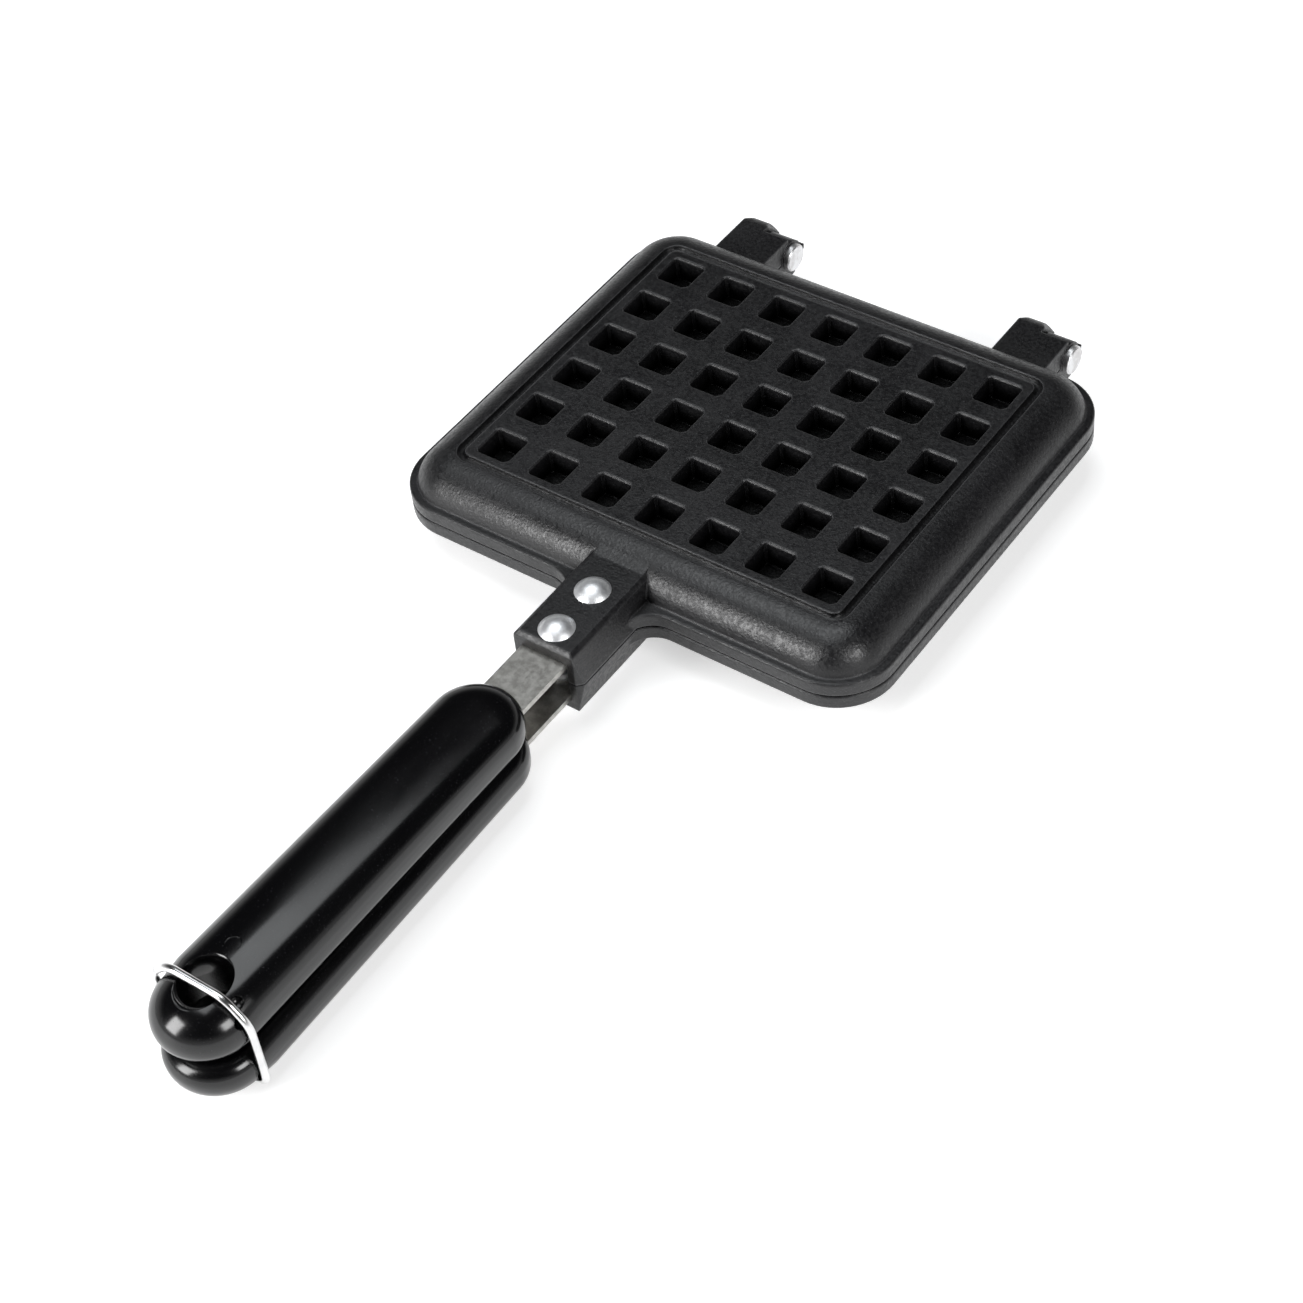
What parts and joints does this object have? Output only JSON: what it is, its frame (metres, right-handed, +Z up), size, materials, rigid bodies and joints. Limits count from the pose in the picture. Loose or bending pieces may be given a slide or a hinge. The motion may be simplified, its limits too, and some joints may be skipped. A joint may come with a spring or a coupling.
{
  "type": "waffle pan",
  "caption": "Two hinged square waffle plates with gridded studs, riveted handle straps, moulded grips and a swinging wire latch that holds the grips together",
  "frame": {"origin": "centre of the lower plate's outside panel, on the plane that the plate rests on", "axes": "+Z up through the closed plates, +Y along the handle's line towards the hinges so that the grips point to -Y, +X to the side where the heads of the hinge pins are"},
  "size_m": [0.145, 0.3058, 0.033],
  "materials": {
    "coated_plate": "cast aluminium under a dark satin non-stick coat",
    "pin_steel": "bright steel",
    "strap_steel": "rolled grey steel with bright edges",
    "rivet_aluminium": "bright pressed dome",
    "grip": "glossy black moulding",
    "wire_steel": "polished wire"
  },
  "bodies": {
    "lower_half": {"lower_plate": "coated_plate", "lower_strap": "strap_steel", "lower_front_rivet": "rivet_aluminium", "lower_rear_rivet": "rivet_aluminium", "lower_grip": "grip", "left_hinge_pin": "pin_steel", "right_hinge_pin": "pin_steel"},
    "upper_half": {"upper_plate": "coated_plate", "upper_strap": "strap_steel", "upper_front_rivet": "rivet_aluminium", "upper_rear_rivet": "rivet_aluminium", "upper_grip": "grip"},
    "latch": {"latch_wire": "wire_steel"}
  },
  "joints": [
    {"name": "plate_hinge", "type": "hinge", "parent": "lower_half", "child": "upper_half", "pos_m": [0, 0.074, 0.0125], "axis": [-1, 0, 0], "range_deg": [0, 95]},
    {"name": "latch_swing", "type": "hinge", "parent": "lower_half", "child": "latch", "pos_m": [0, -0.2131, 0.0019], "axis": [1, 0, 0], "range_deg": [-3, 240]}
  ]
}
